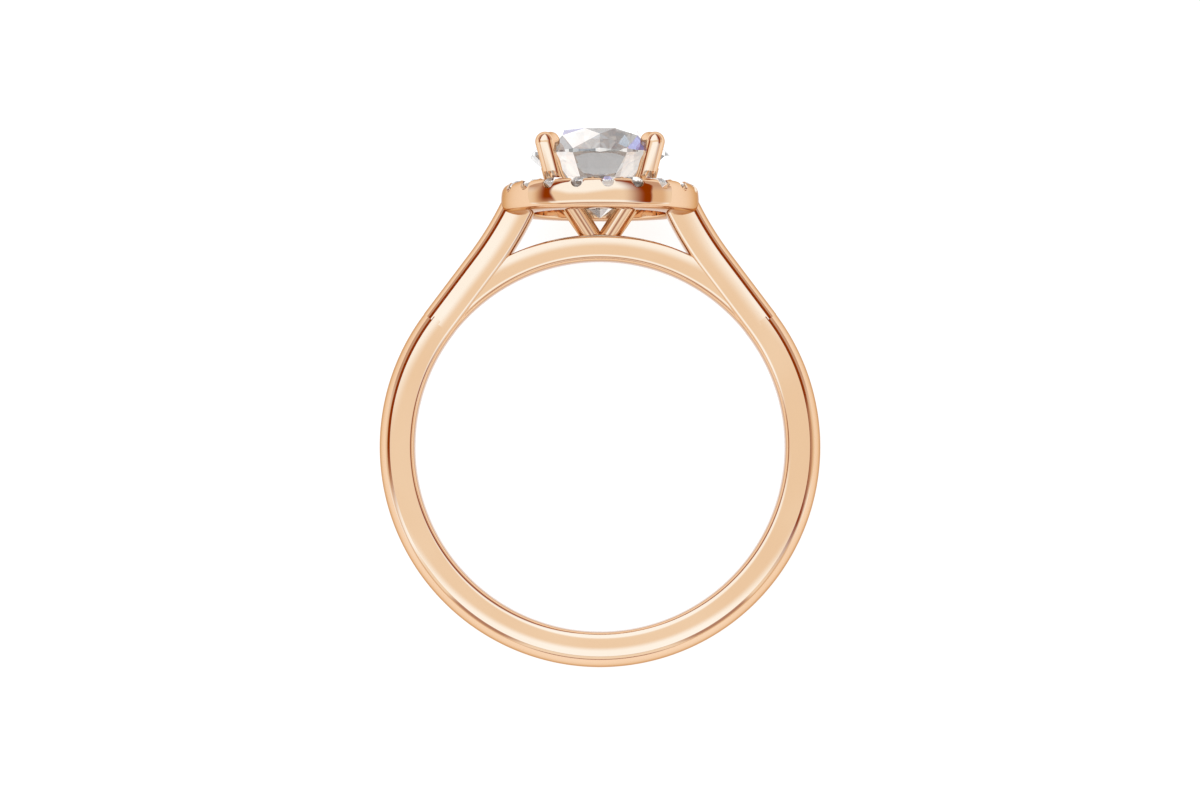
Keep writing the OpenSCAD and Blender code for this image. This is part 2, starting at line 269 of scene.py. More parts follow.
class HALO_RING_PG_studio(PropertyGroup):
    distance: length("Distance", 160, "From the finger hole to the camera", high=1000)
    drop: length("Drop", 2.03, "How far the camera is below the finger axis, with the ring upright")
    pitch: angle("Pitch", 1.495, "How far the camera then looks up")
    focal: FloatProperty(name="Focal length", description="In millimetres", default=102.87)
    floor_size: length("Floor", 600, "Width of the floor", high=5000)
    paper: colour("Floor", (0.28, 0.265, 0.245), "How much light the pale floor gives back")
    glow: FloatProperty(name="Floor glow", description="Light that the floor gives by itself", default=0.85)
    fill: colour("Fill", (1.0, 1.0, 0.97), "Light of the dimmer strip straight above the ring", high=4)
    panels: colour("Panels", (1.18, 1.50, 1.93), "Light of the two wide panels beside that strip", high=4)
    warm: colour("Warm margin", (0.80, 0.62, 0.44), "Light beside the dark cards")
    cards: colour("Cards", (0.30, 0.055, 0.0), "The dark cards that draw the edges of the polished metal")


GROUPS = {
    "halo_ring_band": HALO_RING_PG_band,
    "halo_ring_shoulders": HALO_RING_PG_shoulders,
    "halo_ring_bridge": HALO_RING_PG_bridge,
    "halo_ring_halo": HALO_RING_PG_halo,
    "halo_ring_claws": HALO_RING_PG_claws,
    "halo_ring_stones": HALO_RING_PG_stones,
    "halo_ring_finish": HALO_RING_PG_finish,
    "halo_ring_studio": HALO_RING_PG_studio,
}


def drawn(group):
    """A group's sizes in millimetres, and its other values as they are."""
    values = {}
    for key in group.bl_rna.properties.keys():
        if key in ("rna_type", "name"):
            continue
        rna = group.bl_rna.properties[key]
        value = getattr(group, key)
        values[key] = value / MM if rna.unit == "LENGTH" else value
    return SimpleNamespace(**values)


def plan(scene):
    """Every size that the pieces share, worked out from the property groups, in millimetres."""
    band = drawn(scene.halo_ring_band)
    shoulders = drawn(scene.halo_ring_shoulders)
    bridge = drawn(scene.halo_ring_bridge)
    halo = drawn(scene.halo_ring_halo)
    claws = drawn(scene.halo_ring_claws)
    stones = drawn(scene.halo_ring_stones)

    band.outer = BORE_R + band.thickness
    band.side = band.outer - band.dome
    band.half = band.width / 2
    bridge.outer = BORE_R + bridge.thickness
    bridge.half = band.half - bridge.inset

    halo.inner = halo.opening / 2
    halo.outer = halo.inner + halo.stone + 2 * halo.rim
    halo.base = bridge.outer + halo.rise
    halo.top = halo.base + halo.height
    halo.row = (halo.inner + halo.outer) / 2 + halo.stone_out
    halo.count = math.floor(math.pi / math.asin((halo.stone + halo.stone_space) / (2 * halo.row)))
    halo.pitch = 2 * math.pi / halo.count
    halo.phase = halo.pitch / 4

    end = Vector((halo.outer + shoulders.proud, halo.base + MEET_SHARE * halo.height))
    sweep = shoulders.turn_radius * (1 - math.cos(shoulders.turn))
    view = math.acos((band.outer + sweep) / end.length)
    shoulders.start = math.atan2(end.y, end.x) - view
    shoulders.run = end.length * math.sin(view) - shoulders.turn_radius * math.sin(shoulders.turn)
    shoulders.top = halo.base + STAND_SHARE * halo.height

    stones.radius = stones.diameter / 2
    stones.half_girdle = stones.girdle * stones.radius
    depth = stones.radius * math.tan(stones.pavilion) + stones.half_girdle
    stones.middle = bridge.outer + stones.rise + depth
    small = halo.stone / 2
    crown = small * (1 - stones.table) * math.tan(stones.crown)
    halo.stone_middle = halo.top + halo.stone_proud - crown - stones.girdle * small

    claws.radius = claws.wire / 2
    claws.bend = Vector((halo.inner - claws.bend_inset, halo.top + claws.bend_rise))
    lean = (claws.bend.x - claws.foot) / (claws.bend.y - bridge.outer)
    claws.start = Vector((claws.foot - claws.root * lean, bridge.outer - claws.root))
    claws.top = Vector((stones.radius + claws.reach, stones.middle + claws.height))
    claws.tip_radius = claws.radius - claws.filed
    claws.tip = Vector((stones.radius - claws.grip + claws.tip_radius, claws.top.y + claws.tip_rise))
    return SimpleNamespace(
        band=band, shoulders=shoulders, bridge=bridge, halo=halo, claws=claws, stones=stones,
    )


class Outline:
    """An outline drawn in a plane with bmesh operators: corners, and arcs spun round their centres."""

    def __init__(self, bm, across, up):
        self.bm = bm
        self.across = across
        self.up = up
        self.first = None
        self.last = None

    def place(self, point):
        return self.across * point[0] + self.up * point[1]

    def to(self, *point):
        """Runs straight to a point, or starts there."""
        made = self.bm.verts.new(self.place(point))
        if self.last:
            self.bm.edges.new((self.last, made))
        self.first = self.first or made
        self.last = made
        return self

    def closed(self):
        self.bm.edges.new((self.last, self.first))

    def arc(self, centre, radius, start, end, steps=ARC_STEPS):
        """Runs to the start of an arc and along it. Angles count from across towards up."""
        self.to(centre[0] + radius * math.cos(start), centre[1] + radius * math.sin(start))
        made = bmesh.ops.spin(
            self.bm, geom=[self.last], cent=self.place(centre), axis=self.across.cross(self.up),
            dvec=(0, 0, 0), angle=end - start, steps=steps, use_merge=False, use_duplicate=False,
        )
        self.last = next(v for v in made["geom_last"] if isinstance(v, bmesh.types.BMVert))
        return self


def weld(bm):
    bmesh.ops.remove_doubles(bm, verts=bm.verts[:], dist=WELD)


def whole(bm):
    """Everything in a bmesh, as the operators take it."""
    return bm.verts[:] + bm.edges[:] + bm.faces[:]


def mirrored(bm, axis):
    """Adds the mirror image of all there is, and welds the two along their common line."""
    bmesh.ops.mirror(bm, geom=whole(bm), matrix=Matrix.Identity(4), merge_dist=-1, axis=axis)
    weld(bm)


def spun(bm, edges, axis, turn, steps, centre=(0, 0, 0), closed=False):
    """Spins edges round an axis and gives the edges at the far end."""
    verts = list({v for e in edges for v in e.verts})
    made = bmesh.ops.spin(
        bm, geom=verts + list(edges), cent=centre, axis=axis, dvec=(0, 0, 0), angle=turn, steps=steps,
        use_merge=closed, use_duplicate=False,
    )
    return [g for g in made["geom_last"] if isinstance(g, bmesh.types.BMEdge)]


def pulled(bm, edges, shift):
    """Extrudes edges along a straight run and gives the edges at the far end."""
    made = bmesh.ops.extrude_edge_only(bm, edges=edges)["geom"]
    bmesh.ops.translate(bm, verts=[g for g in made if isinstance(g, bmesh.types.BMVert)], vec=shift)
    return [g for g in made if isinstance(g, bmesh.types.BMEdge)
            and all(v in made for v in g.verts)]


def capped(bm):
    """Closes every open end and turns all faces outwards."""
    weld(bm)
    bmesh.ops.holes_fill(bm, edges=[e for e in bm.edges if e.is_boundary], sides=0)
    bmesh.ops.recalc_face_normals(bm, faces=bm.faces[:])


def cut(bm, place, normal):
    """Cuts off what lies beyond a plane and closes the cut."""
    bmesh.ops.bisect_plane(
        bm, geom=whole(bm), dist=WELD / 10, plane_co=place, plane_no=normal, clear_outer=True,
    )
    capped(bm)


def finished(bm, name, material, slot, *nodes):
    """Lays a drawn piece down and makes it an object that rides on the ring and stands for CAD nodes."""
    bmesh.ops.transform(bm, matrix=LAID, verts=bm.verts[:])
    mesh = bpy.data.meshes.new(name)
    for face in bm.faces:
        face.smooth = True
    bm.to_mesh(mesh)
    bm.free()
    mesh.set_sharp_from_angle(angle=CRISP)
    mesh.materials.append(material)
    piece = bpy.data.objects.new(name, mesh)
    bpy.context.scene.collection.objects.link(piece)
    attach(piece, "root")
    if nodes:
        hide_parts(*nodes)


def carved(bm, *cutters):
    """The drawn body less each cutter, by Blender's exact Boolean."""
    for cutter in cutters:
        objects = []
        for part, name in ((bm, "carved_body"), (cutter, "carving_cutter")):
            mesh = bpy.data.meshes.new(name)
            part.to_mesh(mesh)
            part.free()
            objects.append(bpy.data.objects.new(name, mesh))
            bpy.context.scene.collection.objects.link(objects[-1])
        body, tool = objects
        boolean = body.modifiers.new("carve", "BOOLEAN")
        boolean.operation = "DIFFERENCE"
        boolean.solver = "EXACT"
        boolean.use_self = True
        boolean.object = tool
        bm = bmesh.new()
        bm.from_object(body, bpy.context.evaluated_depsgraph_get())
        for o in objects:
            mesh = o.data
            bpy.data.objects.remove(o)
            bpy.data.meshes.remove(mesh)
    return bm


def bearing(a, b):
    """The direction from one point of a section to another, as an angle."""
    return math.atan2(b.y - a.y, b.x - a.x)


def on_circle(middle, radius, x):
    """The point of a circle's upper half that lies at x."""
    return Vector((x, middle.y + math.sqrt(radius ** 2 - (x - middle.x) ** 2)))


def pillow_arc(reach, swell, x, half):
    """Middle and radius of the flat arc that swells a polished side by so much over twice its reach."""
    radius = (reach ** 2 + swell ** 2) / (2 * swell)
    return Vector((x, half - radius)), radius


def band_section(bm, band, inner, crown, grow=0.0, shift=0.0):
    """Section of the band in the XY plane: bore, comfort roundings, pillowed sides, bevels and dome."""
    pillow, pillow_radius = pillow_arc((band.side - BORE_R) / 2, band.pillow, crown, band.half + grow)
    corner = on_circle(pillow, pillow_radius - band.comfort, inner + band.comfort)

    # The bevel runs from the rim of the side to the dome, which passes over the same top as in the plan
    rim = on_circle(pillow, pillow_radius, band.side + shift)
    crest = rim + band.bevel * Vector((1, -math.tan(band.bevel_lean)))

    # Flank and top are two arcs that meet on a tangent: their radii follow from the room they have
    rise = band.outer + grow - crest.x
    flank_turn = math.pi / 2 - band.flank_lean
    top_turn = math.pi / 2 - band.top_lean
    flank_x = math.cos(top_turn) - math.cos(flank_turn)
    flank_y = math.sin(flank_turn) - math.sin(top_turn)
    top_x = 1 - math.cos(top_turn)
    top_y = math.sin(top_turn)
    spread = flank_x * top_y - top_x * flank_y
    flank_radius = (rise * top_y - top_x * crest.y) / spread
    top_radius = (flank_x * crest.y - rise * flank_y) / spread
    top = Vector((band.outer + grow - top_radius, 0))
    flank = top + (top_radius - flank_radius) * Vector((math.cos(top_turn), math.sin(top_turn)))
    lean = math.pi / 2 - band.bevel_lean
    along = Vector((math.sin(lean), -math.cos(lean)))
    inward = Vector((-math.cos(lean), -math.sin(lean))) * band.softness
    first = rim + along * band.softness * math.tan((bearing(pillow, rim) - lean) / 2) + inward
    last = crest - along * band.softness * math.tan((lean - flank_turn) / 2) + inward
    line = Outline(bm, X, Y)
    line.to(inner, 0)
    line.arc(corner, band.comfort, math.pi, bearing(pillow, corner))
    line.arc(pillow, pillow_radius, bearing(pillow, corner), bearing(pillow, rim) + TRIM, CROWN_STEPS)
    line.arc(first, band.softness, bearing(pillow, rim), lean)
    line.arc(last, band.softness, lean, flank_turn)
    line.arc(flank, flank_radius, flank_turn - TRIM, top_turn, DOME_STEPS)
    line.arc(top, top_radius, top_turn, 0)
    mirrored(bm, "Y")


def turned_up(bm, turn):
    """Turns what is drawn on the +X side up the plane of the ring."""
    bmesh.ops.rotate(bm, verts=bm.verts[:], cent=(0, 0, 0), matrix=Matrix.Rotation(-turn, 3, "Y"))


def material_named(name):
    return bpy.data.materials.get(name) or MATERIALS[name](bpy.context.scene)


class Number:
    """A number that varies over a surface. Arithmetic on it adds Math nodes to its graph."""

    def __init__(self, graph, socket):
        self.graph = graph
        self.socket = socket

    def math(self, operation, *values):
        made = self.graph.node("ShaderNodeMath", {"operation": operation}, dict(enumerate(values)))
        return Number(self.graph, made.outputs[0])

    def __add__(self, other):
        return self.math("ADD", self, other)

    def __sub__(self, other):
        return self.math("SUBTRACT", self, other)

    def __rsub__(self, other):
        return self.math("SUBTRACT", other, self)

    def __mul__(self, other):
        return self.math("MULTIPLY", self, other)

    def __abs__(self):
        return self.math("ABSOLUTE", self)

    def __gt__(self, other):
        return self.math("GREATER_THAN", self, other)

    __radd__ = __add__
    __rmul__ = __mul__

    def larger(self, other):
        return self.math("MAXIMUM", self, other)

    def clamped(self, low, high):
        made = self.graph.node("ShaderNodeClamp", {}, {"Value": self, "Min": low, "Max": high})
        return Number(self.graph, made.outputs[0])

    def rising(self, low, high):
        """Climbs smoothly from 0 to 1 as the number goes from low to high."""
        made = self.graph.node(
            "ShaderNodeMapRange", {"interpolation_type": "SMOOTHSTEP"},
            {"Value": self, "From Min": low, "From Max": high},
        )
        return Number(self.graph, made.outputs["Result"])

    def within(self, middle, half, soft):
        """Is 1 within a half width of a middle and falls softly to 0 outside it."""
        return 1 - abs(self - middle).rising(half, half + soft)


class Graph:
    """The node tree of a material or a world, made from the shader backwards."""

    def __init__(self, owner):
        owner.use_nodes = True
        self.tree = owner.node_tree
        self.tree.nodes.clear()

    def node(self, kind, settings=None, sockets=None):
        """Adds a node: its settings first, then the value or link of each socket."""
        made = self.tree.nodes.new(kind)
        for key, value in (settings or {}).items():
            setattr(made, key, value)
        for key, value in (sockets or {}).items():
            value = getattr(value, "socket", value)
            if isinstance(value, bpy.types.NodeSocket):
                self.tree.links.new(value, made.inputs[key])
            else:
                made.inputs[key].default_value = value
        return made

    def mixed(self, factor, a, b):
        """One colour turning into another. A Mix node repeats its sockets' names, so they go by number."""
        made = self.node("ShaderNodeMix", {"data_type": "RGBA"}, {0: factor, 6: a, 7: b})
        return made.outputs[2]

    def towards(self, vector, direction):
        """How much of a vector points in a direction, as a number."""
        made = self.node("ShaderNodeVectorMath", {"operation": "DOT_PRODUCT"}, {0: vector, 1: direction})
        return Number(self, made.outputs["Value"])

    def noise(self, vector, scale, detail=2.0):
        made = self.node("ShaderNodeTexNoise", {}, {"Vector": vector, "Scale": scale, "Detail": detail})
        return Number(self, made.outputs["Fac"])


def rgba(rgb):
    return (*rgb, 1.0)


def rose_gold(scene):
    """High polish: a mirror with the faint haze, fine lines and slight colour drift of a buffed alloy."""
    finish = scene.halo_ring_finish
    made = bpy.data.materials.new("polished_rose_gold")
    g = Graph(made)
    place = g.node("ShaderNodeTexCoord").outputs["Object"]
    drift = g.noise(place, DRIFT_SCALE).rising(*DRIFT_LIMITS)
    haze = g.noise(place, HAZE_SCALE, HAZE_DETAIL).rising(*HAZE_LIMITS)
    lines = g.node("ShaderNodeMapping", {}, {"Vector": place, "Scale": BUFFING_SCALE}).outputs[0]
    bump = g.node("ShaderNodeBump", {}, {
        "Height": g.noise(lines, 1.0),
        "Strength": BUFFING_STRENGTH,
        "Distance": BUFFING_DEPTH,
    })
    shader = g.node("ShaderNodeBsdfPrincipled", {}, {
        "Base Color": g.mixed(drift, rgba(finish.gold), rgba(finish.gold_deep)),
        "Metallic": 1.0,
        "Roughness": POLISH + haze * HAZE,
        "Specular Tint": rgba(finish.gold_rim),
        "Normal": bump.outputs[0],
    })
    g.node("ShaderNodeOutputMaterial", {}, {"Surface": shader.outputs[0]})
    return made


def diamond(scene, name, glow, behind, lots):
    """Clear stone that glows though it is no lamp: each facet is given painted light, from painted
    highlight to painted shade, up to the glow, and a few glow with painted flash colours. Seen from inside,
    they keep the share of that painted glow that is behind. Another number of lots draws other painted
    lights."""
    finish = scene.halo_ring_finish
    made = bpy.data.materials.new(name)
    g = Graph(made)
    surface = g.node("ShaderNodeNewGeometry").outputs
    facing = surface["True Normal"]
    flat = g.node("ShaderNodeVectorMath", {"operation": "SNAP"}, {0: facing, 1: FACET_SNAP}).outputs[0]
    draw = g.node("ShaderNodeTexWhiteNoise", {"noise_dimensions": "4D"}, {"Vector": flat, "W": lots})
    lot = Number(g, draw.outputs["Value"])
    # Painted flash: the highest sparks among the facets that face the head glow warm or cool, by small
    # patches
    spark = lot * SPARKS
    spark = spark - spark.math("FLOOR", spark)
    flash = (spark > PAINTED_FLASH_FROM) * (g.towards(facing, TO_HEAD) > CROWN_FROM)
    place = g.node("ShaderNodeTexCoord").outputs["Object"]
    patch = g.noise(place, PATCH_SCALE, 0).rising(*PATCH_LIMITS)
    painted_fire = g.mixed(patch, rgba(finish.painted_flash_cool), rgba(finish.painted_flash_warm))
    # Painted highlight or painted shade for each facet by its lot, then the painted flash on the sparks
    painted_glow = g.mixed(lot.rising(*PAINTED_SHADE_LOTS), rgba(finish.diamond), rgba(finish.diamond_painted_shade))
    painted_glow = g.mixed(flash, painted_glow, painted_fire)
    # Seen from inside, the painted glow keeps only the share that is behind
    painted_glow = g.mixed(Number(g, surface["Backfacing"]) * (1 - behind), painted_glow, rgba([0, 0, 0]))
    # The emission paints light into the stone; the flash facets' transmission takes the cool flash colour
    shader = g.node("ShaderNodeBsdfPrincipled", {}, {
        "Base Color": g.mixed(flash, rgba(finish.clear), rgba(finish.painted_flash_cool)),
        "Roughness": 0.0,
        "IOR": DIAMOND_IOR,
        "Transmission Weight": 1.0,
        "Emission Color": painted_glow,
        "Emission Strength": glow,
    })
    g.node("ShaderNodeOutputMaterial", {}, {"Surface": shader.outputs[0]})
    return made


# Both stones glow with painted light: the glow is the strength of the painted highlight, shade and flash
def centre_brilliant(scene):
    return diamond(scene, "centre_brilliant", glow=0.8, behind=0.22, lots=15.0)


def halo_brilliant(scene):
    return diamond(scene, "halo_brilliant", glow=0.9, behind=0.25, lots=2.0)


MATERIALS = {
    "polished_rose_gold": rose_gold, "centre_brilliant": centre_brilliant, "halo_brilliant": halo_brilliant,
}


class HALO_RING_OT_band(Operator):
    """Spins the plain lower band round the finger hole"""
    bl_idname = "halo_ring.band"
    bl_label = "Band"

    def execute(self, context):
        p = plan(context.scene)
        bm = bmesh.new()
        band_section(bm, p.band, BORE_R, (BORE_R + p.band.side) / 2)
        end = p.shoulders.start + BAND_LAP / p.band.outer
        turned_up(bm, math.pi - end)
        spun(bm, bm.edges[:], -Y, math.pi + 2 * end, BAND_STEPS)
        capped(bm)
        finished(bm, "band", material_named("polished_rose_gold"), "rose_gold", "ring_mount")
        return {"FINISHED"}


class HALO_RING_OT_shoulders(Operator):
    """Runs the two shoulders from the band up into the halo"""
    bl_idname = "halo_ring.shoulders"
    bl_label = "Shoulders"

    def execute(self, context):
        p = plan(context.scene)
        band, own = p.band, p.shoulders
        bm = bmesh.new()
        band_section(bm, band, SHOULDER_BORE, SHOULDER_CROWN, own.seam, own.rim_shift)
        far = pulled(bm, bm.edges[:], Z * own.run)
        centre = (band.outer + own.turn_radius, 0, own.run)
        spun(bm, far, Y, own.turn + OVERTURN, TURN_STEPS, centre)
        capped(bm)
        turned_up(bm, own.start)
        cut(bm, Z * own.top, Z)
        cut(bm, X * (p.halo.inner - own.stub), -X)
        mirrored(bm, "X")
        bmesh.ops.recalc_face_normals(bm, faces=bm.faces[:])
        finished(bm, "shoulders", material_named("polished_rose_gold"), "rose_gold", "ring_mount")
        return {"FINISHED"}


class HALO_RING_OT_bridge(Operator):
    """Spins the bar that closes the finger circle under the head"""
    bl_idname = "halo_ring.bridge"
    bl_label = "Bridge"

    def execute(self, context):
        p = plan(context.scene)
        own, band = p.bridge, p.band
        reach = own.thickness / 2
        pillow, pillow_radius = pillow_arc(reach, own.pillow, BRIDGE_BORE + reach, own.half)
        low = on_circle(pillow, pillow_radius - band.comfort, BRIDGE_BORE + band.comfort)
        high = on_circle(pillow, pillow_radius - own.softness, own.outer - own.softness)
        bm = bmesh.new()
        line = Outline(bm, X, Y)
        line.to(BRIDGE_BORE, 0)
        line.arc(low, band.comfort, math.pi, bearing(pillow, low))
        line.arc(pillow, pillow_radius, bearing(pillow, low), bearing(pillow, high), CROWN_STEPS)
        line.arc(high, own.softness, bearing(pillow, high), 0)
        line.to(own.outer, 0)
        mirrored(bm, "Y")
        start = p.shoulders.start - BRIDGE_LAP
        turned_up(bm, start)
        spun(bm, bm.edges[:], -Y, math.pi - 2 * start, BRIDGE_STEPS)
        capped(bm)
        finished(bm, "bridge", material_named("polished_rose_gold"), "rose_gold", "ring_mount")
        return {"FINISHED"}


def ring_of(bm, copies, pitch):
    """Repeats all there is round the upright."""
    bmesh.ops.spin(
        bm, geom=whole(bm), cent=(0, 0, 0), axis=Z, dvec=(0, 0, 0), angle=pitch * (copies - 1),
        steps=copies - 1, use_merge=False, use_duplicate=True,
    )


def round_the_head(bm, turn):
    """Turns what is drawn on the +X side to an angle counted from the viewer's side towards +X."""
    bmesh.ops.rotate(
        bm, verts=bm.verts[:], cent=(0, 0, 0), matrix=Matrix.Rotation(turn - math.pi / 2, 3, "Z"),
    )


class HALO_RING_OT_halo(Operator):
    """Turns the halo's collar, drills its seats and cuts its outer wall open at each stone"""
    bl_idname = "halo_ring.halo"
    bl_label = "Halo"

    def execute(self, context):
        p = plan(context.scene)
        bm = carved(self.collar(p), self.seats(p), self.cuts(p))
        weld(bm)
        self.brighten(bm, p.halo)
        finished(bm, "halo", material_named("polished_rose_gold"), "rose_gold", "ring_mount")
        return {"FINISHED"}

    def collar(self, p):
        own = p.halo
        quarter = math.pi / 2
        barrel, high, low = self.wall(own)
        bm = bmesh.new()
        line = Outline(bm, X, Z)
        lip = own.lip_round
        line.arc((own.inner + lip, own.base + lip), lip, -quarter, -2 * quarter, LIP_STEPS)
        line.arc((own.inner + lip, own.top - lip), lip, 2 * quarter, quarter, LIP_STEPS)
        line.arc(high, own.top_round, quarter, bearing(barrel, high), HALO_TOP_STEPS)
        line.arc(barrel, own.barrel, bearing(barrel, high), bearing(barrel, low), CROWN_STEPS)
        line.arc(low, own.base_round, bearing(barrel, low), -quarter, HALO_BASE_STEPS)
        line.closed()
        spun(bm, bm.edges[:], Z, 2 * math.pi, HALO_STEPS, closed=True)
        weld(bm)
        bmesh.ops.recalc_face_normals(bm, faces=bm.faces[:])
        return bm

    def wall(self, own):
        """Centres of the swelling wall and of the roundings above and below it, in the collar's section."""
        barrel = Vector((own.outer - own.barrel, own.base + own.barrel_rise))
        high = Vector((0, own.top - own.top_round))
        low = Vector((0, own.base + own.base_round))
        for corner, radius in ((high, own.top_round), (low, own.base_round)):
            corner.x = barrel.x + math.sqrt((own.barrel - radius) ** 2 - (corner.y - barrel.y) ** 2)
        return barrel, high, low

    def brighten(self, bm, own):
        """Breaks the sharp edge that each cut leaves in the outer wall."""
        barrel, high, low = self.wall(own)

        def on_wall(v):
            place = Vector((math.hypot(v.co.x, v.co.y), v.co.z))
            return (abs((place - barrel).length - own.barrel) < ON_WALL
                    or abs((place - high).length - own.top_round) < ON_WALL)

        edges = [
            e for e in bm.edges
            if e.calc_face_angle(0) > CUT_CRISP
            and all(on_wall(v) and low.y < v.co.z < own.top - own.cut_rim for v in e.verts)
        ]
        bmesh.ops.bevel(
            bm, geom=edges, offset=own.cut_rim, offset_type="OFFSET", affect="EDGES", segments=2,
            profile=0.5, material=-1, clamp_overlap=True,
        )

    def seats(self, p):
        own, stones = p.halo, p.stones
        small = own.stone / 2
        wide, high = small + SEAT_GAP, own.top + PAST
        lower = own.stone_middle - stones.girdle * small
        tip = lower - small * math.tan(stones.pavilion) - TIP_GAP
        edge = lower - small * (1 - math.cos(HALF_FACET)) * math.tan(stones.pavilion) - SEAT_GAP
        bm = bmesh.new()
        line = Outline(bm, X, Z)
        line.to(0, tip).to(wide, edge).to(wide, high).to(0, high)
        spun(bm, bm.edges[:], Z, 2 * math.pi, SEAT_STEPS, closed=True)
        weld(bm)
        bmesh.ops.translate(bm, verts=bm.verts[:], vec=X * own.row)
        round_the_head(bm, own.phase)
        ring_of(bm, own.count, own.pitch)
        bmesh.ops.recalc_face_normals(bm, faces=bm.faces[:])
        return bm

    def cuts(self, p):
        own = p.halo
        half = own.cut_width / 2
        floor = own.top - own.cut_depth
        start = own.row + half / 2
        bm = bmesh.new()
        line = Outline(bm, Y, Z)
        line.to(half, own.top + PAST)
        line.arc((0, floor + half), half, 0, -math.pi, CUT_STEPS)
        line.to(-half, own.top + PAST)
        line.closed()
        bmesh.ops.translate(bm, verts=bm.verts[:], vec=X * start)
        pulled(bm, bm.edges[:], X * (own.outer - start + PAST))
        capped(bm)
        round_the_head(bm, own.phase)
        ring_of(bm, own.count, own.pitch)
        bmesh.ops.recalc_face_normals(bm, faces=bm.faces[:])
        return bm


class HALO_RING_OT_grains(Operator):
    """Raises the beads that hold the small stones"""
    bl_idname = "halo_ring.grains"
    bl_label = "Grains"

    def execute(self, context):
        p = plan(context.scene)
        own = p.halo
        bm = bmesh.new()
        middle = own.row * math.cos(own.pitch / 2)
        for side in (-1, 1):
            place = Vector((middle + side * own.grain_off, 0, own.top + own.grain_proud - own.grain))
            bmesh.ops.create_uvsphere(
                bm, u_segments=GRAIN_SEGMENTS, v_segments=GRAIN_RINGS, radius=own.grain,
                matrix=Matrix.Translation(place),
            )
        round_the_head(bm, own.phase + own.pitch / 2)
        ring_of(bm, own.count, own.pitch)
        finished(bm, "grains", material_named("polished_rose_gold"), "rose_gold")
        return {"FINISHED"}


class HALO_RING_OT_claws(Operator):
    """Bends the four claws up from the bridge and over the centre stone"""
    bl_idname = "halo_ring.claws"
    bl_label = "Claws"

    def execute(self, context):
        p = plan(context.scene)
        own = p.claws
        bm = bmesh.new()
        self.wire(bm, [own.start, own.bend, own.top], own.radius, own.elbow)
        self.wire(bm, [own.top, own.tip], own.tip_radius, own.elbow)
        bm = carved(bm, self.seat(p.stones))
        weld(bm)
        round_the_head(bm, math.pi / CLAWS)
        ring_of(bm, CLAWS, 2 * math.pi / CLAWS)
        finished(bm, "claws", material_named("polished_rose_gold"), "rose_gold", "ring_mount")
        return {"FINISHED"}

    def wire(self, bm, points, radius, elbow):
        """One wire along points of the XZ plane, with a round elbow at each and a domed end."""
        ahead = (points[1] - points[0]).normalized()
        turn = Matrix.Rotation(math.atan2(ahead.x, ahead.y), 4, "Y")
        place = Matrix.Translation((points[0].x, 0, points[0].y)) @ turn
        made = bmesh.ops.create_circle(bm, segments=WIRE_SIDES, radius=radius, matrix=place)
        ring = list({e for v in made["verts"] for e in v.link_edges})
        at = points[0]
        for k in range(1, len(points)):
            ahead = (points[k] - points[k - 1]).normalized()
            if k + 1 == len(points):
                ring = pulled(bm, ring, self.upright(points[k] - at))
                break
            onward = (points[k + 1] - points[k]).normalized()
            bend = math.atan2(onward.x, onward.y) - math.atan2(ahead.x, ahead.y)
            back = elbow * math.tan(abs(bend) / 2)
            start = points[k] - ahead * back
            ring = pulled(bm, ring, self.upright(start - at))
            side = Vector((ahead.y, -ahead.x)) * math.copysign(elbow, bend)
            ring = spun(bm, ring, Y, bend, ELBOW_STEPS, self.upright(start + side))
            at = points[k] + onward * back
        ahead = self.upright(ahead)
        end = self.upright(points[-1])
        for k in range(1, END_STEPS + 1):
            low, high = math.pi / 2 * (k - 1) / END_STEPS, math.pi / 2 * k / END_STEPS
            ring = pulled(bm, ring, ahead * radius * (math.sin(high) - math.sin(low)))
            verts = list({v for e in ring for v in e.verts})
            shrink = max(math.cos(high) / math.cos(low), 0)
            middle = end + ahead * radius * math.sin(high)
            bmesh.ops.scale(bm, verts=verts, vec=(shrink,) * 3, space=Matrix.Translation(-middle))
        bmesh.ops.pointmerge(bm, verts=verts, merge_co=end + ahead * radius)
        capped(bm)

    def upright(self, point):
        return Vector((point.x, 0, point.y))

    def seat(self, stones):
        """The centre stone's outline turned about the upright, with a gap all round."""
        r, gap = stones.radius, stones.gap
        edge = stones.half_girdle + gap
        table = stones.table * r
        bm = bmesh.new()
        line = Outline(bm, X, Z)
        line.to(0, -edge - r * math.tan(stones.pavilion)).to(r + gap, -edge).to(r + gap, edge)
        line.to(table + gap, edge + (r - table) * math.tan(stones.crown))
        line.to(0, edge + (r - table) * math.tan(stones.crown))
        spun(bm, bm.edges[:], Z, 2 * math.pi, CLAW_SEAT_STEPS, closed=True)
        weld(bm)
        bmesh.ops.translate(bm, verts=bm.verts[:], vec=Z * stones.middle)
        bmesh.ops.recalc_face_normals(bm, faces=bm.faces[:])
        return bm


class HALO_RING_OT_stones(Operator):
    """Gives the cut stones of the frame their diamond finish, whose facets glow with painted light"""
    bl_idname = "halo_ring.stones"
    bl_label = "Stones"

    def execute(self, context):
        for name, node in frame["nodes"].items():
            if name == "ring_mount":
                continue
            centre = name == "centre_stone"
            node.data.materials.clear()
            node.data.materials.append(material_named("centre_brilliant" if centre else "halo_brilliant"))
        return {"FINISHED"}


# What stands in the room, as the polished metal mirrors it. Heights are shares of the way towards the
# head, sides are degrees from the way that the ring faces, to the right above 0. Each edge is given from
# where it begins to where it is full
ROOM_TOP = (0.14, 0.36)
# The panel towards the head, which stands askew in the middle and dips at the left
UPPER_PANEL = (0.08, 0.26)
ASKEW, ASKEW_REACH = 0.22, 0.3
DIP, DIP_EDGE = 0.12, (0.55, 0.9)
# The panel towards the foot, which fades farther down
LOWER_PANEL, LOWER_FADE, LOWER_FADE_EDGE = (0.10, 0.24), 0.9, (0.38, 0.52)
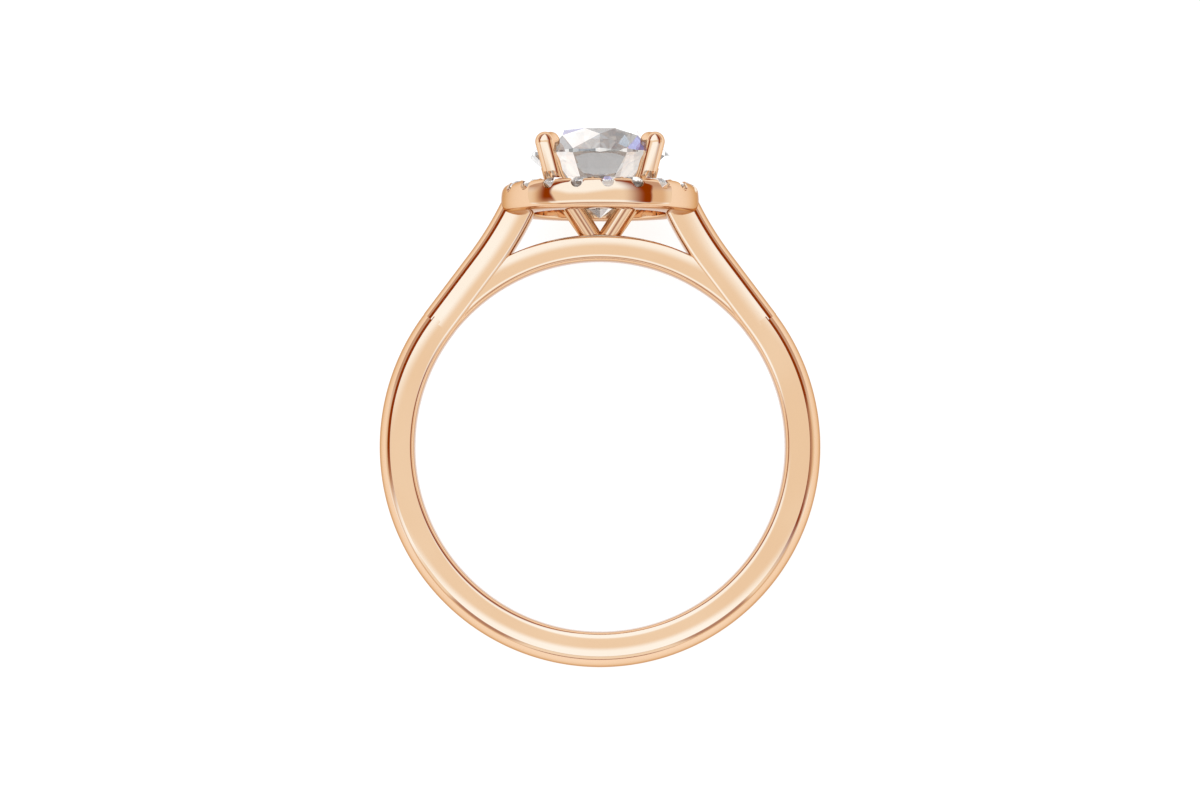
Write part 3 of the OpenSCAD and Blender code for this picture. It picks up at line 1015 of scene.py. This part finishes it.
# The dark cards to both sides. Towards the head both turn with the shoulders, and the left one leans
CARD_TURN, CARD_TURN_EDGE = 9, (0.1, 0.5)
LEFT_LEAN, LEFT_LEAN_EDGE = 10, (-0.25, 0.35)
LEFT_CARD, LEFT_CARD_END = (50, 55), (67, 83)
RIGHT_CARD, RIGHT_CARD_END, RIGHT_CARD_WIDER = (25, 55), (61, 65), (3, 4)
CARDS_FOOT, CARDS_FOOT_TILT = (-0.46, -0.13), 0.17
# A bar low in front of the ring and a card at its foot, both paler than the cards to the sides
BAR_HEIGHT, BAR_SIDE = (-0.72, 0.06, 0.06), (0, 60, 6)
FOOT_CARD, LOW_CARDS = (0.90, 0.96), 0.7
# Beside the cards the room is warm, and shaded towards the head
WARM, WARM_EDGE, WARM_END = 0.8, (60, 65), (76, 90)
SHADE, SHADE_EDGE = 0.4, (60, 66)


class HALO_RING_OT_studio(Operator):
    """Lays the pale floor, lights the room and sets the camera"""
    bl_idname = "halo_ring.studio"
    bl_label = "Studio"

    def execute(self, context):
        scene = context.scene
        own = scene.halo_ring_studio
        scene.view_settings.view_transform = "Standard"
        self.floor(scene, own)
        self.room(scene, own)
        self.camera(scene, own)
        return {"FINISHED"}

    def floor(self, scene, own):
        bm = bmesh.new()
        bmesh.ops.create_grid(bm, x_segments=1, y_segments=1, size=own.floor_size / 2)
        bmesh.ops.translate(bm, verts=bm.verts[:], vec=Z * CAD_BOX[0].z)
        mesh = bpy.data.meshes.new("floor")
        bm.to_mesh(mesh)
        bm.free()
        floor = bpy.data.objects.new("floor", mesh)
        scene.collection.objects.link(floor)
        paper = bpy.data.materials.new("paper")
        g = Graph(paper)
        grain = g.noise(g.node("ShaderNodeTexCoord").outputs["Object"], PAPER_SCALE)
        shader = g.node("ShaderNodeBsdfPrincipled", {}, {
            "Base Color": g.mixed(grain, rgba(own.paper), rgba([c * PAPER_GRAIN for c in own.paper])),
            "Roughness": PAPER_ROUGHNESS,
            "Specular IOR Level": 0.0,
            "Emission Color": rgba([1, 1, 1]),
            "Emission Strength": own.glow,
        })
        g.node("ShaderNodeOutputMaterial", {}, {"Surface": shader.outputs[0]})
        mesh.materials.append(paper)

    def room(self, scene, own):
        """A bright room: a dimmer strip straight above the ring, and dark cards beside and below it."""
        world = bpy.data.worlds.new("studio_room")
        scene.world = world
        g = Graph(world)
        way = g.node("ShaderNodeTexCoord").outputs["Generated"]
        x, along, above = g.towards(way, X), g.towards(way, TO_HEAD), g.towards(way, TO_FACE)
        side = x.math("ARCTAN2", x, above) * math.degrees(1)
        aside = abs(side)
        high = along.rising(*ROOM_TOP)

        lift = x.clamped(-ASKEW_REACH, ASKEW_REACH) * ASKEW + (0 - x).rising(*DIP_EDGE) * DIP
        upper = (along - lift).rising(*UPPER_PANEL)
        lower = (0 - along).rising(*LOWER_PANEL) - (0 - along).rising(*LOWER_FADE_EDGE) * LOWER_FADE

        turned = along.rising(*CARD_TURN_EDGE) * CARD_TURN
        lean = along.rising(*LEFT_LEAN_EDGE) * LEFT_LEAN
        left = (turned - side - lean).rising(*LEFT_CARD) - (0 - side).rising(*LEFT_CARD_END)
        right_end = [end + high * wider for end, wider in zip(RIGHT_CARD_END, RIGHT_CARD_WIDER)]
        right = (side + turned).rising(*RIGHT_CARD) - side.rising(*right_end)
        cards = left.larger(right) * (along + x * CARDS_FOOT_TILT).rising(*CARDS_FOOT)
        bar = along.within(*BAR_HEIGHT) * side.within(*BAR_SIDE) * LOW_CARDS
        cards = cards.larger(bar).larger((0 - along).rising(*FOOT_CARD) * LOW_CARDS)
        cards = cards.larger(aside.rising(*SHADE_EDGE) * high * SHADE)
        warm = aside.rising(*WARM_EDGE) - aside.rising(*WARM_END) * (1 - high)

        light = g.mixed(upper.larger(lower), rgba(own.fill), rgba(own.panels))
        light = g.mixed(warm * WARM, light, rgba(own.warm))
        light = g.mixed(cards, light, rgba(own.cards))
        back = g.node("ShaderNodeBackground", {}, {"Color": light})
        g.node("ShaderNodeOutputWorld", {}, {"Surface": back.outputs[0]})

    def camera(self, scene, own):
        data = bpy.data.cameras.new("photo_view")
        data.lens = own.focal
        data.sensor_width = SENSOR
        data.clip_start, data.clip_end = CLIP
        eye = bpy.data.objects.new("photo_view", data)
        upright = Vector((0, -own.distance, -own.drop))
        eye.location = LAID @ (upright / MM)
        eye.rotation_euler = (TILT + own.pitch, 0, 0)
        scene.collection.objects.link(eye)
        scene.camera = eye


PIECES = [
    HALO_RING_OT_band, HALO_RING_OT_shoulders, HALO_RING_OT_bridge, HALO_RING_OT_halo,
    HALO_RING_OT_grains, HALO_RING_OT_claws, HALO_RING_OT_stones, HALO_RING_OT_studio,
]


class HALO_RING_PT_pieces(Panel):
    """Lists the ring's pieces and its studio in the sidebar"""
    bl_idname = "HALO_RING_PT_pieces"
    bl_label = "Halo Ring"
    bl_space_type = "VIEW_3D"
    bl_region_type = "UI"
    bl_category = "Halo Ring"

    def draw(self, context):
        for piece in PIECES:
            self.layout.operator(piece.bl_idname)
        for name, group in GROUPS.items():
            box = self.layout.box()
            box.label(text=name.replace("halo_ring_", "").capitalize())
            for key in group.__annotations__:
                box.prop(getattr(context.scene, name), key)


CLASSES = [*GROUPS.values(), *PIECES, HALO_RING_PT_pieces]


def register():
    for made in CLASSES:
        bpy.utils.register_class(made)
    for name, group in GROUPS.items():
        setattr(bpy.types.Scene, name, PointerProperty(type=group))


def unregister():
    for name in GROUPS:
        delattr(bpy.types.Scene, name)
    for made in reversed(CLASSES):
        bpy.utils.unregister_class(made)


def main():
    register()
    bpy.ops.halo_ring.band()
    bpy.ops.halo_ring.shoulders()
    bpy.ops.halo_ring.bridge()
    bpy.ops.halo_ring.halo()
    bpy.ops.halo_ring.grains()
    bpy.ops.halo_ring.claws()
    bpy.ops.halo_ring.stones()
    bpy.ops.halo_ring.studio()


if __name__ == "__main__":
    main()
